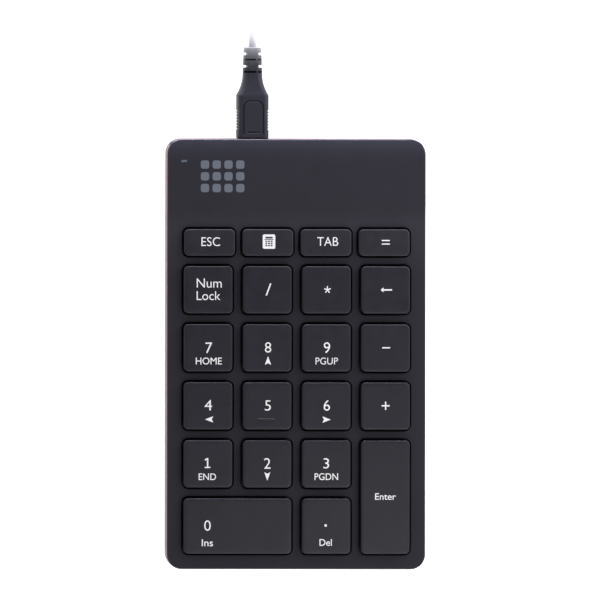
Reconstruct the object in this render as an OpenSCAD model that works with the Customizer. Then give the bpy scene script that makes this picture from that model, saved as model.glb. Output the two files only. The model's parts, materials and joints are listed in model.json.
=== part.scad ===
// Slim wired numeric keypad: 22 plunger keys on rubber domes, with a plug-in cable.
// Origin: centre of the case's footprint, at desk level. +X right, +Y to the cable, +Z up.

/* [Case] */
// Width of the case
case_w = 83.2; // [83:0.1:85]
// Length of the case, front to rear
case_d = 138.4; // [138:0.1:141]
// Radius of the case's corners seen from above
case_corner_r = 4.8; // [4:0.1:6]
// Height of the bezel between the keys
bezel_z = 9.2; // [9.1:0.1:9.4]
// How far the brow behind the keys rises above the bezel
brow_rise = 0.35; // [0.2:0.05:0.5]
// Thickness of the case's side walls
wall = 1.6; // [1.5:0.05:1.65]
// Radius along the case's top edge
top_edge_r = 0.4; // [0.3:0.1:1.2]
// Radius along the case's lower edge
low_edge_r = 1.4; // [1.2:0.1:2.2]

/* [Keys] */
// Spacing of the columns
pitch_x = 19.0; // [18.9:0.05:19.1]
// Spacing of the rows of square keys
pitch_y = 18.66; // [18.5:0.02:18.8]
// Height of the key tops
key_top_z = 11.2; // [11:0.1:11.6]
// Width of a square key, to the middle of the gap around it
key_w = 16.2; // [15.8:0.1:16.4]
// Depth of a square key, to the middle of the gap around it
key_d = 15.78; // [15.4:0.02:16]
// Depth of the front row's keys
front_key_d = 18.35; // [17.8:0.05:18.5]
// Width of the rear row's low keys
rear_key_w = 16.86; // [16:0.02:17]
// Depth of the rear row's low keys
rear_key_d = 9.14; // [9.1:0.02:9.6]
// Clear gap between a key and its window
key_gap = 0.6; // [0.45:0.05:0.65]
// Radius of a key's corners seen from above
key_corner_r = 1.5; // [1.2:0.1:1.8]
// Full travel of a key
key_travel = 2.0; // [1.5:0.1:2]

/* [Plug and cable] */
// Distance of the plug from the case's centre line, negative to the left
plug_x = -13.8; // [-16:0.1:-12]
// Width of the plug's moulded grip
grip_w = 10; // [9.6:0.1:11]
// Thickness of the plug's moulded grip
grip_h = 7.7; // [7:0.1:7.8]
// Diameter of the cable
cable_d = 2.7; // [2.7:0.05:3]
// Distance from the case's rear wall to the cut end of the cable
cable_reach = 36; // [33:1:60]

/* [Hidden] */
$fn = 48;

// Heights, from the desk up
floor_z = 2.4;
cover_low_z = 1.0;
parting_z = 4.6;
lip_z = 5.4;
plate_t = 0.5;
sheet_t = 0.12;
plate_top_z = floor_z + plate_t;
spacer_z = plate_top_z + sheet_t;
top_sheet_z = spacer_z + sheet_t;
membrane_z = top_sheet_z + sheet_t;
frame_low_z = membrane_z + 0.04;
deck_low_z = 4.9;
deck_top_z = 6.1;
recess_z = 5.6;
bezel_low_z = 7.7;
brow_z = bezel_z + brow_rise;

// Keys: skirt, hollow, stem
cap_wall = 1.0;
skirt_z = 8.4;
cap_under_z = key_top_z - 1.2;
cap_edge_r = 0.35;
stem_r = 2.25;
stem_low_z = 6.2;
plunger_z = 6.7;
plunger_r = 1.8;
barb_r = 2.65;
barb_w = 1.0;
barb_top_z = 6.95;
rib_r = 2.55;
rib_w = 0.8;

// Guide towers
guide_gap = 0.05;
tower_r = 2.9;
tower_top_z = 7.7;
barb_slot_top_z = 7.0;
dome_hole_r = 4.4;
collar_r = 5.2;

// Case screws, bosses and posts
boss_r = 2.2;
boss_low_z = 4.05;
post_r = 2.6;
post_top_z = 4.0;
post_hole_r = 2.9;
screw_r = 1.0;
screw_head_r = 1.8;
screw_seat_z = 2.9;

// Field of keys
row_2_y = 20.8;
rear_row_y = 36.0;
front_row_y = -55.15;
rear_pitch_x = 18.7;
function row_y(row) = row_2_y - (row - 2) * pitch_y;
function column_x(column) = (column - 1.5) * pitch_x;

// A seat is [x, y, width, depth] of one key, to the middle of the gap around it
function rear_seat(column) = [(column - 1.5) * rear_pitch_x, rear_row_y, rear_key_w, rear_key_d];
function square_seat(column, row) = [column_x(column), row_y(row), key_w, key_d];
enter_rear_y = row_y(5) + key_d / 2;
enter_front_y = front_row_y - front_key_d / 2;
zero_seat = [(column_x(0) + column_x(1)) / 2, front_row_y, key_w + pitch_x, front_key_d];
decimal_seat = [column_x(2), front_row_y, key_w, front_key_d];
enter_seat = [
    column_x(3), (enter_rear_y + enter_front_y) / 2, key_w, enter_rear_y - enter_front_y
];
SEATS = concat(
    [for (column = [0 : 3]) rear_seat(column)],
    [for (row = [2 : 4], column = [0 : 3]) square_seat(column, row)],
    [for (column = [0 : 2]) square_seat(column, 5)],
    [zero_seat, decimal_seat, enter_seat]
);

// Rear compartment
board_x = [-38.4, 14];
board_y = [45.4, 66.4];
board_low_z = 2.95;
board_z = 3.75;
board_screw_places = [[-25.5, 63], [10.5, 62.5]];
clamp_screw_places = [[-10, 48.2], [10, 48.2]];
tail_z = board_z + 0.02;
tail_reach = [43.0, 45.0, 50.0];
tail_overlap = 1.1;
lamp_place = [-36.2, 62.13];
lamp_size = [1.9, 0.7];
chip_place = [-22, 56];

// Screws that close the case: two behind the keys, four between them
rear_boss_y = 51;
rear_boss_x = 33.5;
case_screw_places = concat(
    [for (side = [-1, 1]) [side * rear_boss_x, rear_boss_y]],
    [for (side = [-1, 1], row = [2.5, 4.5]) [side * pitch_x, row_y(row)]]
);
stake_places = [for (x = [-19, 0, 19], y = [29, -7.2, -45]) [x, y]];
stake_r = 0.75;

// Stabiliser wires, in a frame whose X runs along the wire's long bar
wire_r = 0.5;
wire_arm = 8.0;
wire_rise = 2.1;
wire_reach = sqrt(wire_arm * wire_arm - wire_rise * wire_rise);
wire_pivot = [4.2, 6.75];
wire_tip = [wire_pivot[0] - wire_reach, wire_pivot[1] + wire_rise];
wire_arm_x = 12.5;
wire_tip_x = 10.2;
wire_clip_x = 6.5;
wire_gap = 0.06;

// Feet
foot_places = [for (x = [-31, 31], y = [-61.5, 61]) [x, y]];
foot_size = [14, 5];
foot_top_z = 1.5;

// Socket and plug
socket_z = 5.0;
socket_y = [63.0, 68.6];
contact_pitch = 0.65;
contact_w = 0.4;
contact_count = 5;
rear_y = case_d / 2;
plug_shell_y = [64.35, 72.5];
grip_y = rear_y + 0.15;
grip_end = 14.06;
neck_end = 21.2;
strain_end = 29.5;
neck_r = 3.05;
strain_end_r = 2.8;
grip_corner_r = 1.6;
neck_corner_r = 2.0;
jacket_start_y = 76;
squeezed_r = cable_d / 2 - 0.2;
bore_r = squeezed_r + 0.02;
shield_r = 0.94;
wire_ring_r = 0.46;
core_wire_r = 0.31;
core_r = 0.15;
cut_y = rear_y + cable_reach;

// Colours
charcoal = [0.17, 0.17, 0.19];
key_grey = [0.2, 0.2, 0.22];
black_plastic = [0.06, 0.06, 0.07];
steel = [0.62, 0.63, 0.65];
film = [0.78, 0.84, 0.86];
silicone = [0.85, 0.84, 0.8];
gold = [0.83, 0.67, 0.3];

// ---------- shared shapes ----------

// Points on an arc of radius r about (x, y), from angle a to angle b in n steps
function arc_points(x, y, r, a, b, n) = [
    for (i = [0 : n])
        let (angle = a + (b - a) * i / n)
            [x + r * cos(angle), y + r * sin(angle)]
];

function mirrored(points) = concat(
    points, [for (i = [len(points) - 1 : -1 : 0]) [-points[i][0], points[i][1]]]
);

module rounded_rect(w, d, r) {
    square([w - 2 * r, d], center = true);
    square([w, d - 2 * r], center = true);
    for (x = [-1, 1], y = [-1, 1])
        translate([x * (w / 2 - r), y * (d / 2 - r)])
            circle(r);
}

// A slab with rounded corners whose side follows edge, a list of [inset, height] from low to high
module edged_slab(w, d, r, edge) {
    rotate([90, 0, 90])
        linear_extrude(w - 2 * r, center = true)
            polygon(mirrored([for (e = edge) [d / 2 - e[0], e[1]]]));
    rotate([90, 0, 0])
        linear_extrude(d - 2 * r, center = true)
            polygon(mirrored([for (e = edge) [w / 2 - e[0], e[1]]]));
    for (x = [-1, 1], y = [-1, 1])
        translate([x * (w / 2 - r), y * (d / 2 - r)])
            rotate_extrude()
                polygon(concat(
                    [for (e = edge) [r - e[0], e[1]]],
                    [[0, edge[len(edge) - 1][1]], [0, edge[0][1]]]
                ));
}

// An upright cylinder from height low to height high at each place
module pillars(places, r, low, high) {
    for (place = places)
        translate([place[0], place[1], low])
            cylinder(h = high - low, r = r);
}

// A box given by its two corners
module block(low, high) {
    translate(low)
        cube(high - low);
}

// The plug's outline: a flat rectangle with its two lower corners cut
function plug_outline(w, h, cut) = [
    [-w / 2, h / 2], [-w / 2, cut - h / 2], [cut - w / 2, -h / 2],
    [w / 2 - cut, -h / 2], [w / 2, cut - h / 2], [w / 2, h / 2]
];

// The plug's outline drawn from y = range[0] to y = range[1], on the plug's axis
module plug_prism(w, h, cut, range) {
    translate([plug_x, range[1], socket_z])
        rotate([90, 0, 0])
            linear_extrude(range[1] - range[0])
                polygon(plug_outline(w, h, cut));
}

// A round bar along the plug's axis
module plug_rod(r, from_y, to_y) {
    translate([plug_x, from_y, socket_z])
        rotate([-90, 0, 0])
            cylinder(h = to_y - from_y, r = r);
}

// ---------- case ----------

// The opening in the rear wall for the socket
module socket_opening() {
    translate([plug_x, rear_y - 3, socket_z])
        rotate([-90, 0, 0])
            linear_extrude(6)
                rounded_rect(8.0, 3.0, 0.6);
}

latch_places = [-22, 0, 22];
latch_w = 7.6;

module top_cover() {
    lip_inset = wall / 2;
    ramp_y = [42.8, 49.3];
    above = brow_z + 1;
    color(charcoal)
        difference() {
            union() {
                difference() {
                    edged_slab(case_w, case_d, case_corner_r, concat(
                        [[0, parting_z]],
                        arc_points(top_edge_r, brow_z - top_edge_r, top_edge_r, 180, 90, 5)
                    ));
                    translate([0, 0, parting_z - 1])
                        linear_extrude(bezel_low_z - parting_z + 1)
                            rounded_rect(case_w - 2 * wall, case_d - 2 * wall, case_corner_r - wall);
                    translate([0, 0, parting_z - 1])
                        linear_extrude(lip_z + 0.05 - parting_z + 1)
                            rounded_rect(
                                case_w - 2 * lip_inset, case_d - 2 * lip_inset,
                                case_corner_r - lip_inset
                            );
                }
                pillars(case_screw_places, boss_r, boss_low_z, bezel_low_z + 0.2);
                for (x = latch_places)
                    block(
                        [x - latch_w / 2, lip_inset - rear_y - 0.2, parting_z + 0.05],
                        [x + latch_w / 2, wall - rear_y - 0.05, bezel_low_z + 0.2]
                    );
            }
            // the key field lies lower than the brow, with a shallow ramp between them
            rotate([90, 0, 90])
                linear_extrude(case_w + 2, center = true)
                    polygon([
                        [-rear_y - 1, bezel_z], [ramp_y[0], bezel_z], [ramp_y[1], brow_z],
                        [ramp_y[1], above], [-rear_y - 1, above]
                    ]);
            for (seat = SEATS)
                translate([seat[0], seat[1], bezel_low_z - 1])
                    linear_extrude(above - bezel_low_z + 1)
                        rounded_rect(seat[2] + key_gap, seat[3] + key_gap, key_corner_r + key_gap);
            pillars(case_screw_places, screw_r + 0.02, boss_low_z - 1, 7.4);
            translate([lamp_place[0], lamp_place[1], bezel_low_z - 1])
                linear_extrude(above - bezel_low_z + 1)
                    square(lamp_size + [0.08, 0.08], center = true);
            socket_opening();
        }
}

module foot_outline(grow) {
    r = foot_size[1] / 2 + grow;
    run = (foot_size[0] - foot_size[1]) / 2;
    square([2 * run, 2 * r], center = true);
    for (x = [-run, run])
        translate([x, 0])
            circle(r);
}

module bottom_cover() {
    lip_inset = wall / 2 + 0.05;
    color(charcoal)
        difference() {
            union() {
                difference() {
                    union() {
                        edged_slab(case_w, case_d, case_corner_r, concat(
                            arc_points(low_edge_r, cover_low_z + low_edge_r, low_edge_r, 270, 180, 6),
                            [[0, parting_z]]
                        ));
                        translate([0, 0, parting_z - 0.5])
                            linear_extrude(lip_z - parting_z + 0.5)
                                rounded_rect(
                                    case_w - 2 * lip_inset, case_d - 2 * lip_inset,
                                    case_corner_r - lip_inset
                                );
                    }
                    translate([0, 0, floor_z])
                        linear_extrude(lip_z)
                            rounded_rect(case_w - 2 * wall, case_d - 2 * wall, case_corner_r - wall);
                }
                pillars(case_screw_places, post_r, floor_z - 0.5, post_top_z);
                pillars(concat(board_screw_places, clamp_screw_places), 2.2, floor_z - 0.5, board_low_z);
            }
            pillars(case_screw_places, screw_head_r + 0.2, 0, screw_seat_z);
            pillars(case_screw_places, screw_r + 0.15, screw_seat_z - 0.5, post_top_z + 1);
            pillars(concat(board_screw_places, clamp_screw_places), 0.92, 1.4, board_low_z + 1);
            for (place = foot_places)
                translate([place[0], place[1], 0])
                    linear_extrude(foot_top_z)
                        foot_outline(0.05);
            for (x = latch_places)
                block(
                    [x - latch_w / 2 - 0.2, -rear_y + 0.5, parting_z],
                    [x + latch_w / 2 + 0.2, wall - rear_y + 0.5, lip_z + 1]
                );
            socket_opening();
        }
}

module rubber_feet() {
    color(black_plastic)
        for (place = foot_places)
            translate([place[0], place[1], 0])
                linear_extrude(foot_top_z)
                    foot_outline(0);
}

module case_screw() {
    difference() {
        union() {
            translate([0, 0, screw_seat_z - 1.2])
                cylinder(h = 1.2, r = screw_head_r);
            translate([0, 0, screw_seat_z - 0.2])
                cylinder(h = 4.3, r = screw_r);
        }
        for (angle = [0, 90])
            rotate(angle)
                translate([0, 0, screw_seat_z - 1.2])
                    cube([2.2, 0.5, 1.4], center = true);
    }
}

module case_screws() {
    color(steel)
        for (place = case_screw_places)
            translate([place[0], place[1], 0])
                case_screw();
}

// ---------- key guide, plate, membrane and domes ----------

field_y = [-67.0, 42.9];
field_mid_y = (field_y[0] + field_y[1]) / 2;

module field_outline(inset) {
    translate([0, field_mid_y])
        rounded_rect(79 - 2 * inset, field_y[1] - field_y[0] - 2 * inset, 2.5);
}

// Openings through a sheet or the plate: screw posts and the frame's stakes
module sheet_holes(low, high) {
    for (place = case_screw_places)
        if (place[1] < field_y[1])
            pillars([place], post_hole_r, low, high);
    pillars(stake_places, stake_r + 0.1, low, high);
}

// Draws its children in the frame of the 0 key's wire, and again in that of the Enter key's
module at_wire(seat, turn) {
    translate([seat[0], seat[1], 0])
        rotate(turn)
            children();
}

// The two snap clips that hold a wire's long bar on the guide deck
module wire_clips() {
    for (x = [-wire_clip_x, wire_clip_x])
        difference() {
            block([x - 1, wire_pivot[0] - 1.15, deck_top_z - 0.2], [x + 1, wire_pivot[0] + 1.15, 7.45]);
            translate([x, wire_pivot[0], wire_pivot[1]])
                rotate([0, 90, 0])
                    cylinder(h = 3, r = wire_r + guide_gap, center = true);
            block([x - 2, wire_pivot[0] - 0.42, wire_pivot[1]], [x + 2, wire_pivot[0] + 0.42, 9]);
        }
}

// Room in the deck for the hooks that hang below a wide key
module hook_openings() {
    for (side = [-1, 1])
        translate([side * 11.1, wire_tip[0] - 0.15, deck_low_z - 1])
            linear_extrude(deck_top_z - deck_low_z + 2)
                square([2.4, 4.2], center = true);
}

module key_guide_frame() {
    color(black_plastic)
        difference() {
            union() {
                difference() {
                    translate([0, 0, frame_low_z])
                        linear_extrude(deck_top_z - frame_low_z)
                            field_outline(0);
                    translate([0, 0, frame_low_z - 1])
                        linear_extrude(deck_low_z - frame_low_z + 1)
                            field_outline(1.2);
                }
                pillars(SEATS, collar_r, frame_low_z, deck_low_z + 0.2);
                pillars(SEATS, tower_r, deck_top_z - 0.2, tower_top_z);
                pillars(stake_places, 1.5, frame_low_z, deck_low_z + 0.2);
                pillars(stake_places, stake_r, floor_z + 0.05, frame_low_z + 0.2);
                at_wire(zero_seat, 0)
                    wire_clips();
                at_wire(enter_seat, 90)
                    wire_clips();
            }
            pillars(SEATS, dome_hole_r, frame_low_z - 1, recess_z);
            pillars(SEATS, stem_r + guide_gap, recess_z - 1, tower_top_z + 1);
            for (seat = SEATS)
                translate([seat[0], seat[1], 0]) {
                    translate([0, 0, recess_z - 0.5 + (barb_slot_top_z - recess_z + 0.5) / 2])
                        cube([2 * tower_r + 1, barb_w + 0.2, barb_slot_top_z - recess_z + 0.5], center = true);
                    translate([0, 0, recess_z - 0.5 + 2])
                        cube([rib_w + 0.2, 2 * rib_r + 0.26, 4], center = true);
                }
            for (place = case_screw_places)
                if (place[1] < field_y[1])
                    pillars([place], boss_r + 0.25, frame_low_z - 1, tower_top_z);
            at_wire(zero_seat, 0)
                hook_openings();
            at_wire(enter_seat, 90)
                hook_openings();
        }
}

module backing_plate() {
    color(steel)
        difference() {
            translate([0, 0, floor_z])
                linear_extrude(plate_t)
                    field_outline(0.1);
            sheet_holes(floor_z - 1, plate_top_z + 1);
        }
}

// One film sheet, with holes of the given radius under the domes where hole_r is above 0
module film_sheet(low, hole_r = 0) {
    difference() {
        translate([0, 0, low])
            linear_extrude(sheet_t)
                field_outline(0.5);
        sheet_holes(low - 1, low + 1);
        if (hole_r > 0)
            pillars(SEATS, hole_r, low - 1, low + 1);
    }
}

// The strip that carries a sheet's circuit up onto the circuit board
module film_tail(low, x_range) {
    translate([x_range[0], 0, 0])
        rotate([90, 0, 90])
            linear_extrude(x_range[1] - x_range[0])
                polygon([
                    [tail_reach[0] - tail_overlap, low], [tail_reach[0], low], [tail_reach[1], tail_z],
                    [tail_reach[2], tail_z], [tail_reach[2], tail_z + sheet_t],
                    [tail_reach[1], tail_z + sheet_t], [tail_reach[0], low + sheet_t],
                    [tail_reach[0] - tail_overlap, low + sheet_t]
                ]);
}

module membrane_bottom_sheet() {
    color(film) {
        film_sheet(plate_top_z);
        film_tail(plate_top_z, [-6, -0.3]);
    }
}

module membrane_spacer_sheet() {
    color(film)
        film_sheet(spacer_z, 2.2);
}

module membrane_top_sheet() {
    color(film) {
        film_sheet(top_sheet_z);
        film_tail(top_sheet_z, [0.3, 6]);
    }
}

// A hollow rubber dome: foot flange, sloping skirt, crown, and the nub that presses the switch
module rubber_dome() {
    foot_z = membrane_z + 0.28;
    rotate_extrude()
        polygon([
            [4.2, membrane_z], [4.2, foot_z], [3.35, foot_z], [1.7, 6.15], [1.7, plunger_z],
            [0, plunger_z], [0, 5.35], [0.9, 5.35], [0.9, 6.05], [1.3, 6.05],
            [2.95, foot_z], [2.95, membrane_z]
        ]);
}

module rubber_domes() {
    color(silicone)
        for (seat = SEATS)
            translate([seat[0], seat[1], 0])
                rubber_dome();
}

// ---------- keys ----------

// One key cap with its plunger stem: guide ribs front and rear, retaining barbs left and right
module keycap(seat) {
    w = seat[2] - key_gap;
    d = seat[3] - key_gap;
    edge = concat([[0, skirt_z]], arc_points(cap_edge_r, key_top_z - cap_edge_r, cap_edge_r, 180, 90, 3));
    translate([seat[0], seat[1], 0]) {
        difference() {
            edged_slab(w, d, key_corner_r, edge);
            translate([0, 0, skirt_z - 1])
                linear_extrude(cap_under_z - skirt_z + 1)
                    rounded_rect(w - 2 * cap_wall, d - 2 * cap_wall, key_corner_r - cap_wall + 0.1);
        }
        difference() {
            union() {
                pillars([[0, 0]], stem_r, stem_low_z, cap_under_z + 0.2);
                block([-barb_r, -barb_w / 2, stem_low_z], [barb_r, barb_w / 2, barb_top_z]);
                block([-rib_w / 2, -rib_r, stem_low_z], [rib_w / 2, rib_r, cap_under_z + 0.2]);
            }
            pillars([[0, 0]], plunger_r, stem_low_z - 1, plunger_z);
        }
    }
}

// The slotted hooks below a wide key, which carry its wire's tips
module wire_hooks() {
    slot_r = wire_r + wire_gap;
    slot_front = wire_pivot[0] - wire_arm;
    for (side = [-1, 1])
        difference() {
            block(
                [side * 11.1 - 0.6, slot_front - 1.4, 7.75],
                [side * 11.1 + 0.6, wire_tip[0] + 1.3, cap_under_z + 0.2]
            );
            translate([side * 11.1, 0, wire_tip[1]])
                rotate([0, 90, 0])
                    linear_extrude(3, center = true) {
                        translate([0, (slot_front + wire_tip[0]) / 2])
                            square([2 * slot_r, wire_tip[0] - slot_front], center = true);
                        for (y = [slot_front, wire_tip[0]])
                            translate([0, y])
                                circle(slot_r);
                    }
        }
}

module key_esc() { color(key_grey) keycap(rear_seat(0)); }
module key_calculator() { color(key_grey) keycap(rear_seat(1)); }
module key_tab() { color(key_grey) keycap(rear_seat(2)); }
module key_equals() { color(key_grey) keycap(rear_seat(3)); }
module key_num_lock() { color(key_grey) keycap(square_seat(0, 2)); }
module key_divide() { color(key_grey) keycap(square_seat(1, 2)); }
module key_multiply() { color(key_grey) keycap(square_seat(2, 2)); }
module key_backspace() { color(key_grey) keycap(square_seat(3, 2)); }
module key_7() { color(key_grey) keycap(square_seat(0, 3)); }
module key_8() { color(key_grey) keycap(square_seat(1, 3)); }
module key_9() { color(key_grey) keycap(square_seat(2, 3)); }
module key_minus() { color(key_grey) keycap(square_seat(3, 3)); }
module key_4() { color(key_grey) keycap(square_seat(0, 4)); }
module key_6() { color(key_grey) keycap(square_seat(2, 4)); }
module key_plus() { color(key_grey) keycap(square_seat(3, 4)); }
module key_1() { color(key_grey) keycap(square_seat(0, 5)); }
module key_2() { color(key_grey) keycap(square_seat(1, 5)); }
module key_3() { color(key_grey) keycap(square_seat(2, 5)); }
module key_decimal() { color(key_grey) keycap(decimal_seat); }

// The 5 key has a low bar near its front edge for the finger to find
module key_5() {
    seat = square_seat(1, 4);
    bar = [5.8, 0.55, 0.25];
    color(key_grey) {
        keycap(seat);
        translate([seat[0] - 0.5, seat[1] - 4.25, key_top_z + bar[2] / 2 - 0.05])
            cube(bar, center = true);
    }
}

module key_0() {
    color(key_grey) {
        keycap(zero_seat);
        at_wire(zero_seat, 0)
            wire_hooks();
    }
}

module key_enter() {
    color(key_grey) {
        keycap(enter_seat);
        at_wire(enter_seat, 90)
            wire_hooks();
    }
}

// A bent wire: a long bar that turns in the deck's clips, two arms, and tips held by the key
module stabiliser_wire() {
    tilt = asin(wire_rise / wire_arm);
    translate([0, wire_pivot[0], wire_pivot[1]])
        rotate([0, 90, 0])
            cylinder(h = 2 * wire_arm_x, r = wire_r, center = true);
    for (side = [-1, 1]) {
        translate([side * wire_arm_x, wire_pivot[0], wire_pivot[1]]) {
            sphere(wire_r + 0.01);
            rotate([90 - tilt, 0, 0])
                cylinder(h = wire_arm, r = wire_r);
        }
        translate([side * wire_arm_x, wire_tip[0], wire_tip[1]]) {
            sphere(wire_r + 0.01);
            rotate([0, -side * 90, 0])
                cylinder(h = wire_arm_x - wire_tip_x, r = wire_r);
        }
    }
}

module stabiliser_wire_0() {
    color(steel)
        at_wire(zero_seat, 0)
            stabiliser_wire();
}

module stabiliser_wire_enter() {
    color(steel)
        at_wire(enter_seat, 90)
            stabiliser_wire();
}

// ---------- circuit board ----------

module circuit_board() {
    boss_place = [-rear_boss_x, rear_boss_y];
    color([0.1, 0.35, 0.2])
        difference() {
            block([board_x[0], board_y[0], board_low_z], [board_x[1], board_y[1], board_z]);
            pillars([boss_place], post_r + 0.4, 0, board_z + 1);
            pillars(concat(board_screw_places, clamp_screw_places), 1.1, 0, board_z + 1);
        }
}

chip_size = [9.9, 3.9, 1.4];
chip_low_z = board_z + 0.2;

module controller_chip() {
    color(black_plastic)
        translate([chip_place[0] - chip_size[0] / 2, chip_place[1] - chip_size[1] / 2, chip_low_z])
            cube(chip_size);
}

module chip_leads() {
    lead_z = chip_low_z + 0.55;
    side_y = chip_size[1] / 2 + 0.01;
    color(steel)
        for (i = [0 : 7], turn = [0, 180])
            translate([chip_place[0], chip_place[1], 0])
                rotate(turn)
                    translate([(i - 3.5) * 1.27, side_y, 0])
                        rotate([90, 0, 90])
                            linear_extrude(0.4, center = true)
                                polygon([
                                    [0, lead_z], [0.5, lead_z], [0.6, board_z + 0.02],
                                    [1.2, board_z + 0.02], [1.2, board_z + 0.2],
                                    [0.75, board_z + 0.2], [0.65, lead_z + 0.18], [0, lead_z + 0.18]
                                ]);
}

module board_capacitors() {
    color([0.7, 0.6, 0.45])
        for (place = [[-31, 58], [-13.5, 57], [-10, 57], [-4, 60], [-1, 60]])
            translate([place[0], place[1], board_z + 0.02])
                block([-0.65, -1, 0], [0.65, 1, 0.8]);
}

module tail_clamp_bar() {
    color(black_plastic)
        difference() {
            block([-12.2, 46.2, board_z + 0.02], [12.2, 50.2, 5.6]);
            block([-6.7, 46, board_z - 1], [6.7, 51, 4.5]);
            pillars(clamp_screw_places, 1.1, board_z - 1, 6);
        }
}

module tail_pressure_strip() {
    color(silicone)
        block([-6.5, 46.8, tail_z + sheet_t + 0.01], [6.5, 49.6, 4.49]);
}

// A pan-head screw whose head sits at seat_z and whose tip ends in the bottom cover
module pan_screw(seat_z) {
    head_h = 0.9;
    difference() {
        union() {
            translate([0, 0, seat_z])
                cylinder(h = head_h, r = 1.7);
            translate([0, 0, 1.5])
                cylinder(h = seat_z - 1.5 + 0.2, r = 0.9);
        }
        for (angle = [0, 90])
            rotate(angle)
                translate([0, 0, seat_z + head_h])
                    cube([2.0, 0.45, 1.0], center = true);
    }
}

module clamp_screws() {
    color(steel)
        for (place = clamp_screw_places)
            translate([place[0], place[1], 0])
                pan_screw(5.61);
}

module board_screws() {
    color(steel)
        for (place = board_screw_places)
            translate([place[0], place[1], 0])
                pan_screw(board_z + 0.01);
}

module indicator_led() {
    color("white")
        translate([lamp_place[0], lamp_place[1], board_z + 0.02])
            block([-1.6, -0.8, 0], [1.6, 0.8, 1.05]);
}

module indicator_light_pipe() {
    shoulder_z = bezel_low_z - 0.1;
    color([0.85, 0.87, 0.88])
        translate([lamp_place[0], lamp_place[1], 0]) {
            block([-2.1, -1.5, 4.9], [2.1, 1.5, shoulder_z]);
            translate([0, 0, shoulder_z - 0.5])
                linear_extrude(brow_z - shoulder_z + 0.5)
                    square(lamp_size, center = true);
        }
}

// ---------- socket and plug ----------

// One strip at each contact position, offset from the plug's axis along X
module each_contact() {
    for (i = [0 : contact_count - 1])
        translate([plug_x + (i - (contact_count - 1) / 2) * contact_pitch, 0, 0])
            children();
}

module usb_socket_shell() {
    color(steel)
        difference() {
            plug_prism(7.5, 2.45, 0.8, socket_y);
            plug_prism(7.0, 1.95, 0.77, [socket_y[0] - 1, socket_y[1] + 1]);
        }
}

module usb_socket_insulator() {
    block_y = [socket_y[0] - 0.05, socket_y[0] + 1.2];
    tongue_z = [5.15, 5.6];
    color(black_plastic)
        difference() {
            union() {
                plug_prism(6.9, 1.85, 0.75, block_y);
                block(
                    [plug_x - 1.9, block_y[1] - 0.5, tongue_z[0]],
                    [plug_x + 1.9, socket_y[1] - 0.8, tongue_z[1]]
                );
            }
            each_contact()
                block([-0.25, block_y[0] - 1, 5.02], [0.25, block_y[1] + 0.01, 5.17]);
        }
}

module usb_socket_contacts() {
    back_y = socket_y[0] - 0.2;
    color(gold)
        each_contact()
            rotate([90, 0, 90])
                linear_extrude(contact_w, center = true)
                    polygon([
                        [socket_y[1] - 1.0, 5.05], [socket_y[1] - 1.0, 5.14], [back_y - 0.15, 5.14],
                        [back_y - 0.15, board_z + 0.17], [back_y - 0.9, board_z + 0.17],
                        [back_y - 0.9, board_z + 0.02], [back_y, board_z + 0.02], [back_y, 5.05]
                    ]);
}

module plug_shell() {
    color(steel)
        difference() {
            plug_prism(6.85, 1.8, 0.8, plug_shell_y);
            plug_prism(6.35, 1.3, 0.7, [plug_shell_y[0] - 1, plug_shell_y[1] + 1]);
        }
}

module plug_insulator() {
    color(black_plastic)
        block([plug_x - 2.4, plug_shell_y[0] + 0.25, 4.37], [plug_x + 2.4, plug_shell_y[1] - 0.5, 4.85]);
}

module plug_contacts() {
    color(gold)
        each_contact()
            block([-contact_w / 2, plug_shell_y[0] + 0.45, 4.87], [contact_w / 2, plug_shell_y[1] - 0.1, 5.02]);
}

// Points round a rounded rectangle, anticlockwise from its right side
function rounded_points(w, h, r, steps) = [
    for (corner = [0 : 3], k = [0 : steps])
        let (angle = 90 * (corner + k / steps))
        [
            (corner == 0 || corner == 3 ? 1 : -1) * (w / 2 - r) + r * cos(angle),
            (corner < 2 ? 1 : -1) * (h / 2 - r) + r * sin(angle)
        ]
];

// One body through a list of [distance, width, height, corner radius] sections along the plug's axis
module sectioned_bar(sections) {
    steps = 6;
    count = 4 * (steps + 1);
    last = len(sections) - 1;
    points = [
        for (section = sections, point = rounded_points(section[1], section[2], section[3], steps))
            [point[0], section[0], point[1]]
    ];
    sides = [
        for (i = [0 : last - 1], k = [0 : count - 1])
            let (a = i * count + k, b = i * count + (k + 1) % count)
                each [[a, b, b + count], [a, b + count, a + count]]
    ];
    ends = [
        [for (k = [count - 1 : -1 : 0]) k],
        [for (k = [0 : count - 1]) last * count + k]
    ];
    translate([plug_x, rear_y, socket_z])
        polyhedron(points, concat(sides, ends));
}

// Section of the grip's taper, left going from 1 at its full size to 0 at the squarish neck
function taper_section(left) = let (taper = pow(left, 2.2)) [
    neck_end - (neck_end - grip_end) * left,
    2 * neck_r + (grip_w - 2 * neck_r) * taper,
    2 * neck_r + (grip_h - 2 * neck_r) * taper,
    neck_corner_r + (grip_corner_r - neck_corner_r) * taper
];

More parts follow.
